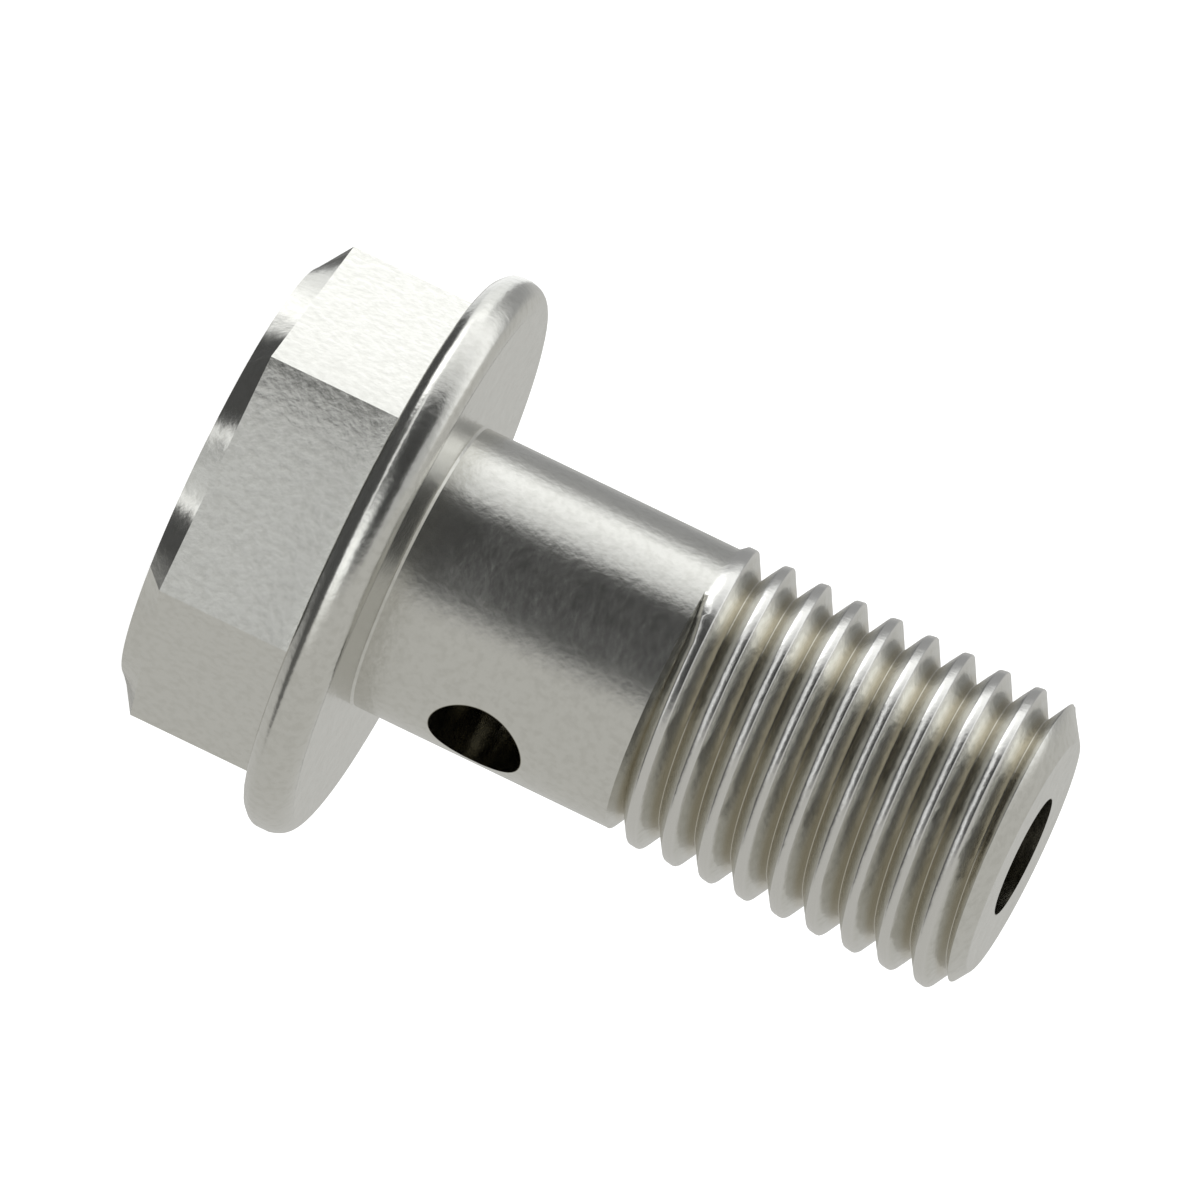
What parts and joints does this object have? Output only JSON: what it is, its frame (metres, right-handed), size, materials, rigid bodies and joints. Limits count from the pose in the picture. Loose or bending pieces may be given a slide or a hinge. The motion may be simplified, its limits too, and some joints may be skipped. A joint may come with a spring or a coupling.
{
  "type": "banjo bolt",
  "caption": "Flanged hexagon banjo bolt, drilled along its axis from the tip and across its plain shank, so that fluid can pass into a banjo fitting.",
  "frame": {"origin": "centre of the bearing face under the flange, on the bolt's axis", "axes": "+Z along the shank to the threaded tip, +X square to two flats of the hexagon and along the cross hole"},
  "size_m": [0.019, 0.019, 0.0279],
  "materials": {
    "satin_nickel": "satin nickel-plated steel, faintly cloudy, a little warm"
  },
  "bodies": {
    "root": {"banjo_bolt": "satin_nickel"}
  },
  "joints": []
}
